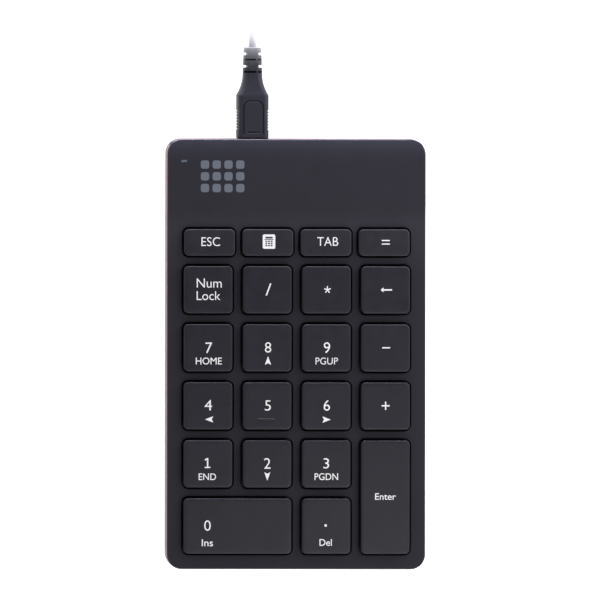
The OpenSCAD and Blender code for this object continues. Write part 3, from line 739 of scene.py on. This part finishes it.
def top_cover():
    shell = Shell()
    ramp = spread(*RAMP_Y, 8)
    profile = [
        (WALL + 0.3, UNDERSIDE_Z), (WALL + 0.09, UNDERSIDE_Z - 0.09), (WALL, UNDERSIDE_Z - 0.3),
        (WALL, LIP_Z + 0.05), (WALL / 2, LIP_Z + 0.05), (WALL / 2, PARTING_Z), (SEAM, PARTING_Z),
        (0, PARTING_Z + SEAM),
    ]
    rings = [case_ring(shell, inset, z, ramp) for inset, z in profile]
    for inset, drop in fillet(TOP_EDGE_R, 8):
        rings.append(case_ring(shell, inset, lambda y, drop=drop: top_height(y) - drop, ramp))
    shell.bridge(*rings)
    above, below = cover_openings(shell)
    shell.fill(rings[-1], above, ramp_lines(shell, rings[-1], ramp))
    shell.fill(rings[0], below)

    mesh = shell.mesh("top_cover_shell")
    tongues = [
        block(
            (x - LATCH_HALF_W, FRONT_Y + 0.6, PARTING_Z + 0.05),
            (x + LATCH_HALF_W, FRONT_Y + WALL - 0.05, UNDERSIDE_Z + 0.2),
        )
        for x in LATCH_X
    ]
    mesh = combined(mesh, joined(tongues), "UNION")
    mesh = combined(mesh, socket_cutter(), "DIFFERENCE")
    piece("top_cover_shell", mesh, "case", CASE, ["top_cover"])


def bottom_cover():
    shell = Shell()
    profile = [(inset, BASE_Z + drop) for inset, drop in reversed(fillet(LOW_EDGE_R, 8))]
    profile += [
        (0, PARTING_Z - SEAM), (SEAM, PARTING_Z), (WALL / 2 + 0.05, PARTING_Z),
        (WALL / 2 + 0.05, LIP_Z - 0.1), (WALL / 2 + 0.15, LIP_Z), (WALL, LIP_Z),
        (WALL, FLOOR_Z + 0.4), (WALL + 0.12, FLOOR_Z + 0.12), (WALL + 0.4, FLOOR_Z),
    ]
    rings = [case_ring(shell, inset, z) for inset, z in profile]
    shell.bridge(*rings)

    under, floor = [], []
    for place in SCREW_PLACES:
        first, last = bore(shell, place, [
            (2.1, BASE_Z), (2.0, BASE_Z + 0.1), (2.0, 2.9), (1.15, 2.9), (1.15, 4.0), (2.5, 4.0),
            (2.6, 3.9), (2.6, FLOOR_Z + 0.3), (2.9, FLOOR_Z),
        ])
        under.append(first)
        floor.append(last)
    for place in BOARD_POSTS:
        first, last = bore(shell, place, [(0.92, 1.4), (0.92, 2.95), (2.2, 2.95), (2.2, FLOOR_Z)])
        shell.cap(first)
        floor.append(last)
    for place in FOOT_PLACES:
        first, last = pierce(shell, [
            stadium(place, 14.1 + 2 * grow, 5.1 + 2 * grow, z)
            for grow, z in ((0.1, BASE_Z), (0, BASE_Z + 0.1), (0, 1.5))
        ])
        under.append(first)
        shell.cap(last)
    shell.fill(rings[0], under)
    shell.fill(rings[-1], floor)

    mesh = shell.mesh("bottom_cover_shell")
    half_w = LATCH_HALF_W + 0.2
    catches = [
        block(
            (x - half_w, FRONT_Y + 0.5, PARTING_Z + 0.001),
            (x + half_w, FRONT_Y + WALL + 0.5, LIP_Z + 1),
        )
        for x in LATCH_X
    ]
    mesh = combined(mesh, joined(catches), "DIFFERENCE")
    mesh = combined(mesh, socket_cutter(), "DIFFERENCE")
    piece("bottom_cover_shell", mesh, "case", CASE, ["bottom_cover"])


def brow_mark():
    """A plain printed grid of rounded squares on the brow, four by three."""
    side, pitch, centre = 2.7, 3.78, (-23.8, 57.24)
    shells = []
    for column in range(4):
        for row in range(3):
            place = (centre[0] + (column - 1.5) * pitch, centre[1] + (row - 1) * pitch)
            outline = [(x, y) for x, y, _ in rounded_rect(place, (side, side), 0.8, 0, 5)]
            shells.append(prism_z(outline, (BROW_Z - 0.05, BROW_Z + 0.015)))
    piece("brow_mark", joined(shells).mesh("brow_mark"), "case", MARK_INK)


# ---------- keys ----------

def quarter_turned(points, turns):
    """The points turned about the origin by quarter turns to the left."""
    for _ in range(turns):
        points = [(-y, x) for x, y in points]
    return points


def stem_outline(centre, z, barbs, shrink=0.0):
    """The stem's outline: round, with ribs front and rear and, lower down, barbs left and right."""
    r = STEM_R - shrink
    fins = [(BARB_HALF_W, BARB_REACH if barbs else 0), (RIB_HALF_W, RIB_REACH)]
    points = []
    for turns in range(4):
        half_w, reach = fins[turns % 2]
        foot = math.sqrt(r * r - half_w * half_w)
        tip = max(foot, reach - shrink)
        start, stop = (math.degrees(math.asin(fins[k % 2][0] / r)) for k in (turns, turns + 1))
        side = arc((0, 0), r, start, 90 - stop, 6)[:-1]
        points += quarter_turned([(foot, -half_w), (tip, -half_w), (tip, half_w), *side], turns)
    return [(centre[0] + x, centre[1] + y, z) for x, y in points]


def cap_shell(centre, size):
    """A hollow key cap with a soft shoulder, its stem and the recess for the dome."""
    shell = Shell()

    def outline(inset, z):
        inner_size = (size[0] - 2 * inset, size[1] - 2 * inset)
        return rounded_rect(centre, inner_size, max(0.3, KEY_CORNER_R - inset), z)

    outside = [(0.1, SKIRT_Z), (0, SKIRT_Z + 0.1)]
    outside += [(inset, CAP_TOP_Z - 0.03 - drop) for inset, drop in fillet(CAP_EDGE_R, 5)]
    outside += [(CAP_EDGE_R + 0.35, CAP_TOP_Z - 0.01), (CAP_EDGE_R + 0.8, CAP_TOP_Z)]
    inner = [
        (CAP_WALL + 0.3, CAP_UNDER_Z), (CAP_WALL + 0.09, CAP_UNDER_Z - 0.09),
        (CAP_WALL, CAP_UNDER_Z - 0.3), (CAP_WALL, SKIRT_Z + 0.1), (CAP_WALL - 0.1, SKIRT_Z),
    ]
    first, last = pierce(shell, [outline(inset, z) for inset, z in inner + outside])
    shell.cap(last)
    stem = [
        stem_outline(centre, CAP_UNDER_Z, False), stem_outline(centre, 6.95, False),
        stem_outline(centre, 6.95, True), stem_outline(centre, STEM_LOW_Z + 0.25, True),
        stem_outline(centre, STEM_LOW_Z, True, 0.12),
    ]
    rings = [shell.ring(points) for points in stem]
    turned = -math.degrees(math.atan2(BARB_HALF_W, STEM_R))
    for z in (STEM_LOW_Z, PLUNGER_Z):
        rings.append(shell.ring(circle(centre, PLUNGER_R, z, len(rings[0]), turned)))
    shell.bridge(*rings)
    shell.cap(rings[-1])
    shell.fill(first, [rings[0]])
    return shell


def wire_hooks(seat, turned):
    """The two hooks below a wide key, and the slot cut through both for its wire."""
    front, tip_z, tip_y, slot_r = -3.8, 8.85, -3.52, 0.56
    hook_x, half_w, low_z, reach = 11.1, 0.6, 7.75, 12.5

    def place(x, y, z):
        return (seat[0] - y, seat[1] + x, z) if turned else (seat[0] + x, seat[1] + y, z)

    hooks = [
        block(place(x - half_w, front - 1.4, low_z), place(x + half_w, tip_y + 1.3, CAP_UNDER_Z + 0.4))
        for x in (-hook_x, hook_x)
    ]
    outline = arc((tip_y, tip_z), slot_r, -90, 90, 12) + arc((front, tip_z), slot_r, 90, 270, 12)
    slot = closed([[place(x, y, z) for y, z in outline] for x in (-reach, reach)])
    return joined(hooks), slot


def homing_bar(centre):
    """The low rounded bar near the front edge of the 5 key."""
    length, width, place = 5.8, 0.55, (centre[0] - 0.5, centre[1] - 4.25)
    return closed([
        stadium(place, length - 2 * inset, width - 2 * inset, CAP_TOP_Z + rise, 8)
        for inset, rise in ((0, -0.15), (0, 0.06), (0.06, 0.14), (0.16, 0.19))
    ])


def keys():
    for key in KEYS:
        centre, size = plan_box("key_" + key)
        mesh = cap_shell(centre, size).mesh("cap_" + key)
        if key in ("0", "enter"):
            hooks, slot = wire_hooks(centre, key == "enter")
            mesh = combined(mesh, hooks, "UNION")
            mesh = combined(mesh, slot, "DIFFERENCE")
        if key == "5":
            mesh = combined(mesh, homing_bar(centre), "UNION")
        piece("cap_" + key, mesh, "key_" + key, CAP, ["key_" + key])


# ---------- legends ----------

LEGEND_Z = (CAP_TOP_Z - 0.06, CAP_TOP_Z + 0.012)
BOLD_WORDS = ("HOME", "END", "PGDN", "Enter", "Ins", "Del")


def lettering(text):
    """Lettering in the built-in font, as a flat-sided mesh, with strokes a touch thinner or bolder."""
    curve = bpy.data.curves.new("lettering", "FONT")
    curve.body = text
    curve.resolution_u = 5
    curve.offset = 0.005 if text in BOLD_WORDS else -0.003
    curve.extrude = 0.5
    obj = placed("lettering", curve)
    made = evaluated(obj)
    bpy.data.objects.remove(obj)
    shell = Shell()
    shell.points = [tuple(v.co) for v in made.vertices]
    shell.faces = [tuple(p.vertices) for p in made.polygons]
    return shell


def fitted(shell, centre, size):
    """A legend part scaled and moved to fill a rectangle on the key top."""
    low = [min(p[k] for p in shell.points) for k in range(3)]
    high = [max(p[k] for p in shell.points) for k in range(3)]
    corner = (centre[0] - size[0] / 2, centre[1] - size[1] / 2, LEGEND_Z[0])
    span = (size[0], size[1], LEGEND_Z[1] - LEGEND_Z[0])
    shell.points = [
        tuple(corner[k] + (p[k] - low[k]) / (high[k] - low[k]) * span[k] for k in range(3))
        for p in shell.points
    ]
    return shell


def flat(points):
    return prism_z(points, (0, 1))


def numeral_one():
    """A 1 with a flag and a foot."""
    return flat([
        (0, 0), (2.2, 0), (2.2, 0.46), (1.4, 0.46), (1.4, 3.6), (0.93, 3.6), (0.05, 3.14), (0.05, 2.62),
        (0.86, 3.0), (0.86, 0.46), (0, 0.46),
    ])


def pointer(turns):
    """A notched arrowhead that points up, or is turned from there by quarter turns to the left."""
    return flat(quarter_turned([(0, 2.6), (-1.05, 0), (0, 0.5), (1.05, 0)], turns))


def back_arrow():
    return flat([
        (0, 0.75), (0.9, 1.5), (0.9, 0.97), (3.6, 0.97), (3.6, 0.53), (0.9, 0.53), (0.9, 0),
    ])


def asterisk():
    """Five bold arms, one of them upright."""
    arm, half_width, notch = 1.15, 0.2, 0.3
    points = []
    for k in range(5):
        angle = math.radians(90 + 72 * k)
        c, s = math.cos(angle), math.sin(angle)
        points += [(arm * c - y * s, arm * s + y * c) for y in (-half_width, half_width)]
        points.append((notch * math.cos(angle + math.pi / 5), notch * math.sin(angle + math.pi / 5)))
    return flat(points)


def bar():
    return flat([(0, 0), (1, 0), (1, 1), (0, 1)])


def plus_sign():
    arm, half = 1.45, 0.24
    return flat([
        (-half, -arm), (half, -arm), (half, -half), (arm, -half), (arm, half), (half, half),
        (half, arm), (-half, arm), (-half, half), (-arm, half), (-arm, -half), (-half, -half),
    ])


def calculator_icon():
    """A small calculator: a rounded body with a display, a line and a three by three grid of buttons."""
    shell = Shell()
    body, display, line, button = (4.15, 4.7), (2.4, 0.56), (2.9, 0.26), (0.62, 0.48)
    outlines = [
        rounded_rect((0, 0), body, 0.5, 0, 4),
        rounded_rect((0, 1.28), display, 0.1, 0, 2),
        rounded_rect((0, 0.68), line, 0.05, 0, 2),
    ]
    for column in (-1, 0, 1):
        for row in (0, 1, 2):
            outlines.append(rounded_rect((0.87 * column, 0.08 - 0.68 * row), button, 0.08, 0, 2))
    layers = []
    for z in (0, 1):
        rings = [shell.ring([(x, y, z) for x, y, _ in outline]) for outline in outlines]
        shell.fill(rings[0], rings[1:])
        layers.append(rings)
    for low, high in zip(*layers):
        shell.bridge(low, high)
    return shell


def legends():
    """What is printed on each key: (text or shape, middle from the key's centre, size)."""
    parts = {
        "esc": [("ESC", (0.29, 0.3), (5.98, 2.85))],
        "calculator": [(calculator_icon(), (0.32, 0.35), (4.03, 4.63))],
        "tab": [("TAB", (0.5, 0.42), (6.78, 2.78))],
        "equals": [(bar(), (0.45, y), (2.58, 0.37)) for y in (0.75, -0.38)],
        "num_lock": [("Num", (0.27, 2.19), (8.03, 2.97)), ("Lock", (0.05, -1.86), (7.65, 2.87))],
        "divide": [("/", (0.34, 0.18), (1.9, 3.88))],
        "multiply": [(asterisk(), (0.26, 0.14), (2.2, 2.18))],
        "backspace": [(back_arrow(), (0.22, 0.06), (3.68, 1.56))],
        "7": [("7", (0.18, 0.04), (2.17, 3.4)), ("HOME", (0.18, -4.2), (8.38, 2.26))],
        "8": [("8", (0.22, 0.2), (2.01, 3.32)), (pointer(0), (0.21, -4.02), (2.02, 2.8))],
        "9": [("9", (0.15, 0.14), (2.04, 3.48)), ("PGUP", (0.09, -4.17), (7.2, 2.22))],
        "minus": [(bar(), (0.17, 0.13), (2.55, 0.4))],
        "4": [("4", (0.03, 0.28), (2.42, 3.36)), (pointer(1), (0.3, -4.3), (2.7, 2.0))],
        "5": [("5", (0.18, 0.18), (1.92, 3.32))],
        "6": [("6", (0.13, 0.24), (2.04, 3.44)), (pointer(3), (0.06, -4.33), (2.7, 2.07))],
        "plus": [(plus_sign(), (0.03, 0.14), (2.54, 2.66))],
        "1": [(numeral_one(), (-0.19, 0.32), (1.82, 3.22)), ("END", (-0.24, -4.08), (5.6, 2.12))],
        "2": [("2", (0.02, 0.24), (2.1, 3.42)), (pointer(2), (0.02, -3.95), (1.93, 2.76))],
        "3": [("3", (-0.04, 0.27), (1.85, 3.32)), ("PGDN", (-0.01, -4.01), (7.56, 2.21))],
        "enter": [("Enter", (0.03, 0.25), (6.68, 2.12))],
        "0": [("0", (-9.68, 0.19), (2.11, 3.37)), ("Ins", (-9.71, -5.34), (3.62, 2.27))],
        "decimal": [(bar(), (-0.19, 0.28), (0.72, 0.72)), ("Del", (-0.19, -5.2), (3.96, 2.17))],
    }
    for key, items in parts.items():
        centre, _ = plan_box("key_" + key)
        shells = []
        for part, (x, y), size in items:
            shell = lettering(part) if isinstance(part, str) else part
            shells.append(fitted(shell, (centre[0] + x, centre[1] + y), size))
        mesh = joined(shells).mesh("legend_" + key)
        piece("legend_" + key, mesh, "key_" + key, WHITE_INK)


# ---------- domes ----------

def domes():
    """One hollow silicone dome per key: foot, skirt, crown, and a nub inside that presses the switch."""
    low, high = box_mm("rubber_domes")
    foot = low.z
    profile = [
        (4.1, foot), (4.2, foot + 0.08), (4.2, foot + 0.2), (4.1, foot + 0.28), (3.5, foot + 0.3),
        (3.2, foot + 0.5), (2.6, 4.65), (2.05, 5.2), (1.82, 5.36), (1.7, 5.55), (1.7, high.z - 0.12),
        (1.58, high.z), (1.2, high.z), (0, high.z),
    ]
    hollow = [
        (0, 5.35), (0.8, 5.35), (0.9, 5.42), (0.9, 6.0), (1.3, 6.0), (1.32, 5.4), (1.55, 5.1),
        (2.2, 4.45), (2.85, foot + 0.4), (2.95, foot + 0.2), (2.95, foot),
    ]
    sides = 36
    for number, key in enumerate(KEYS):
        centre, _ = plan_box("key_" + key)
        shell = Shell()
        rings = [shell.ring(circle(centre, max(r, 1e-5), z, sides)) for r, z in profile + hollow]
        shell.bridge(*rings, rings[0])
        dome = piece(
            "dome_" + key, shell.mesh("dome_" + key), "case", SILICONE,
            ["rubber_domes"] if number == 0 else (), 60,
        )
        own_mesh(dome)


# ---------- plug and cable ----------

def plug_ring(t, w, h, r):
    """A rounded rectangle round the plug's axis, t behind the case."""
    return [(x, REAR_Y + t, z) for x, z, _ in rounded_rect((PLUG_X, PLUG_Z), (w, h), r, 0, 10)]


def grip_body():
    """The outside of the grip, its hollow-curved taper and the strain relief."""
    front_r, end_r, steps = 0.3, 0.35, 18
    w, h = GRIP_SIZE
    rings = [
        plug_ring(GRIP_FROM + back, w - 2 * inset, h - 2 * inset, GRIP_CORNER_R - inset)
        for inset, back in reversed(fillet(front_r, 4))
    ]
    rings.append(plug_ring(GRIP_END - 0.5, w, h, GRIP_CORNER_R))
    for k in range(steps + 1):
        taper = (1 - k / steps) ** 2.2
        rings.append(plug_ring(
            GRIP_END + (NECK_END - GRIP_END) * k / steps,
            2 * NECK_R + (w - 2 * NECK_R) * taper, 2 * NECK_R + (h - 2 * NECK_R) * taper,
            NECK_CORNER_R + (GRIP_CORNER_R - NECK_CORNER_R) * taper,
        ))
    for inset, back in fillet(end_r, 4):
        side = 2 * (STRAIN_END_R - inset)
        rings.append(plug_ring(STRAIN_END - back, side, side, NECK_CORNER_R - inset))
    return closed(rings).mesh("plug_grip")


def finger_notches():
    """Seven notches with sloping sides down each side of the grip."""
    shells = []
    first, pitch, depth, mouth, bottom, reach = 3.15, 0.97, 0.4, 0.34, 0.2, 0.2
    for side in (-1, 1):
        edge = PLUG_X + side * GRIP_SIZE[0] / 2
        for k in range(7):
            y = REAR_Y + first + pitch * k
            outline = [
                (edge - side * depth, y - bottom), (edge + side * reach, y - mouth),
                (edge + side * reach, y + mouth), (edge - side * depth, y + bottom),
            ]
            shells.append(prism_z(outline, (GRIP_LOW.z - 0.5, GRIP_HIGH.z + 0.5)))
    return shells


def relief_slots():
    """Slots cut across the strain relief; a bridge crosses each of the upper and lower ones."""
    near, far, wide = SLOT_FROM_AXIS, SLOT_FROM_AXIS + 4, 4
    spans = []
    for side in (-1, 1):
        for reach in ((NECK_END + 0.05, NECK_END + 0.75), (25.3, 25.8)):
            for across in ((-wide, 0.85), (1.45, wide)):
                spans.append((across, (side * near, side * far), reach))
        for reach in ((22.9, 23.75), (26.9, 27.75)):
            spans.append(((side * near, side * far), (-wide, wide), reach))
    return [
        block(*((PLUG_X + x, REAR_Y + t, PLUG_Z + z) for x, z, t in zip(across, up, reach)))
        for across, up, reach in spans
    ]


def arch(inset):
    """A line up one side of the grip's panel, over its round-cornered top and down the other side."""
    half, top, r, foot = 3.4 - inset, 12.6 - inset, 2.5 - inset, 1.75
    points = [(-half, foot), *arc((r - half, top - r), r, 180, 90, 10)]
    points += [*arc((half - r, top - r), r, 90, 0, 10), (half, foot)]
    return [(PLUG_X + x, REAR_Y + t) for x, t in points]


def panel_groove():
    """The groove round the arched panel on the grip: upright outside, sloping up to the panel."""
    return stack([(arch(0) + arch(inset)[::-1], z) for inset, z in zip((0.3, 0.75), GROOVE_Z)])


def panel_slot():
    """The groove across the front of the panel: upright at the rear, sloping up at the front."""
    left, right, rear = PLUG_X - 1.93, PLUG_X + 1.93, REAR_Y + 2.42
    return stack([
        ([(left, REAR_Y + front), (right, REAR_Y + front), (right, rear), (left, rear)], z)
        for front, z in zip((2.2, 1.64), GROOVE_Z)
    ])


def plug_grip():
    mesh = grip_body()
    cuts = joined([*finger_notches(), *relief_slots(), panel_groove(), panel_slot()])
    mesh = combined(mesh, cuts, "DIFFERENCE")
    half_w, half_h, cut = 3.475, 0.95, 0.8
    outline = [
        (-half_w, half_h), (-half_w, cut - half_h), (cut - half_w, -half_h),
        (half_w - cut, -half_h), (half_w, cut - half_h), (half_w, half_h),
    ]
    shell_room = prism_y([(PLUG_X + x, PLUG_Z + z) for x, z in outline], (REAR_Y - 1, REAR_Y + 3.4))
    mesh = combined(mesh, shell_room, "DIFFERENCE")
    cable_room = [(x, z) for x, z, _ in circle((PLUG_X, PLUG_Z), 1.17, 0, 40)]
    mesh = combined(mesh, prism_y(cable_room, (REAR_Y + 3.3, REAR_Y + STRAIN_END + 1)), "DIFFERENCE")
    piece("plug_grip", mesh, "cable_plug", grip_look(), ["plug_overmould"], 28)


# ---------- carried-over CAD nodes ----------

def dress_nodes():
    """Materials for the CAD nodes that stay, and a fine bevel on the moulded and stamped ones."""
    slots = {part["node"]: part["material_slot"] for part in frame["record"]["subparts"]}
    bevels = {
        "key_guide_frame": 0.08, "controller_chip": 0.12, "board_capacitors": 0.12,
        "tail_clamp_bar": 0.2, "rubber_feet": 0.3, "indicator_led": 0.1, "clamp_screws": 0.08,
        "board_screws": 0.08, "case_screws": 0.1, "backing_plate": 0.05, "circuit_board": 0.05,
        "tail_pressure_strip": 0.15, "usb_socket_shell": 0.04, "plug_shell": 0.05,
        "plug_insulator": 0.06, "usb_socket_insulator": 0.04, "indicator_light_pipe": 0.05,
    }
    for name, obj in NODES.items():
        if obj.hide_render:
            continue
        slot = slots[name]
        obj.data.materials.clear()
        obj.data.materials.append(jacket_look() if name == "cable_jacket" else LOOKS[slot])
        weld = obj.modifiers.new("weld", "WELD")
        weld.merge_threshold = 2e-7
        if name in bevels:
            dissolve = obj.modifiers.new("dissolve", "DECIMATE")
            dissolve.decimate_type = "DISSOLVE"
            dissolve.angle_limit = math.radians(1)
            bevel = obj.modifiers.new("bevel", "BEVEL")
            bevel.width = bevels[name] * MM
            bevel.segments = 2
            bevel.limit_method = "ANGLE"
            bevel.angle_limit = math.radians(40)


# ---------- studio ----------

def area_light(name, place, target, size, power, colour=(1, 1, 1)):
    light = bpy.data.lights.new(name, "AREA")
    light.shape = "RECTANGLE"
    light.size, light.size_y = size
    light.energy = power
    light.color = colour
    obj = placed(name, light)
    obj.location = place
    obj.rotation_mode = "QUATERNION"
    obj.rotation_quaternion = (Vector(target) - Vector(place)).to_track_quat("-Z", "Y")
    obj.visible_camera = False


def table():
    """A lit white table top, seen only from above; lengths here are in metres."""
    half = 6.0
    corners = [(-half, -half, 0), (half, -half, 0), (half, half, 0), (-half, half, 0)]
    mesh = bpy.data.meshes.new("floor")
    mesh.from_pydata(corners, [], [(0, 1, 2, 3)])
    floor = placed("floor", mesh)
    floor.location.z = -0.0002
    look = Look("floor", (0.8, 0.8, 0.8, 1), 0.9, Emission_Color=(1, 1, 1, 1), Emission_Strength=0.86)
    look.mottle(60.0, 0.01)
    from_below = add_node(look.tree, "NewGeometry").outputs["Backfacing"]
    look.set(Alpha=look.math("SUBTRACT", 1, from_below))
    mesh.materials.append(look.material)


def surround():
    """White to the camera; as a light, brightest level with the table and dark overhead."""
    world = bpy.data.worlds.new("surround")
    bpy.context.scene.world = world
    world.use_nodes = True
    tree, white = world.node_tree, (1, 1, 1, 1)
    direction = add_node(tree, "TexCoord").outputs["Generated"]
    height = add_node(tree, "SeparateXYZ", Vector=direction).outputs["Z"]
    fade = add_node(tree, "MapRange", Value=height, To_Min=1.15, To_Max=0.0).outputs["Result"]
    lit = add_node(tree, "Background", Color=white, Strength=fade).outputs[0]
    seen = add_node(tree, "Background", Color=white).outputs[0]
    blend = add_node(tree, "MixShader")
    feed(tree, blend, {0: add_node(tree, "LightPath").outputs["Is Camera Ray"], 1: lit, 2: seen})
    feed(tree, tree.nodes["World Output"], {"Surface": blend.outputs[0]})


def studio():
    """The table, the surround and five area lights, placed in metres."""
    bpy.context.scene.view_settings.view_transform = "Standard"
    table()
    surround()
    area_light("rear_strip", (0, 0.36, 0.06), (0, 0.06, 0), (0.5, 0.04), 1.8, (0.88, 0.88, 1.0))
    area_light("front_strip", (0.15, -0.28, 0.3), (0, -0.07, 0), (0.4, 0.15), 0.45)
    area_light("front_panel", (0.06, -0.16, 0.4), (0, -0.1, 0), (0.2, 0.12), 0.15)
    area_light("corner_panel", (0.25, -0.25, 0.4), (0, -0.05, 0), (0.2, 0.2), 0.13)
    area_light("right_panel", (0.24, 0.13, 0.16), (0.03, 0.03, 0), (0.12, 0.2), 0.38, (0.92, 0.92, 1.0))


def camera():
    """Far above, to the left of and behind the keypad, with its picture plane level like the desk.

    The lean is a shear between the camera and its stand, so once it is taken off the stand it looks
    straight along its own axis again.
    """
    height, view_width, target = 2.5, 0.1898, Vector((-0.00043, 0.01908, 0.0092))
    lean = Vector((-math.tan(math.radians(6.3)), math.tan(math.radians(3.2)), 1.0))
    shear = Matrix.Identity(4)
    shear.col[2].xyz = lean
    stand = placed("camera_stand", None)
    stand.location = target
    data = bpy.data.cameras.new("camera")
    data.sensor_width = 36.0
    data.lens = data.sensor_width * height * lean.length / view_width
    obj = placed("camera", data)
    obj.parent = stand
    obj.matrix_parent_inverse = shear
    obj.location.z = height
    obj.rotation_euler.z = math.radians(0.08)
    bpy.context.scene.camera = obj


top_cover()
bottom_cover()
brow_mark()
keys()
legends()
domes()
plug_grip()
dress_nodes()
studio()
camera()
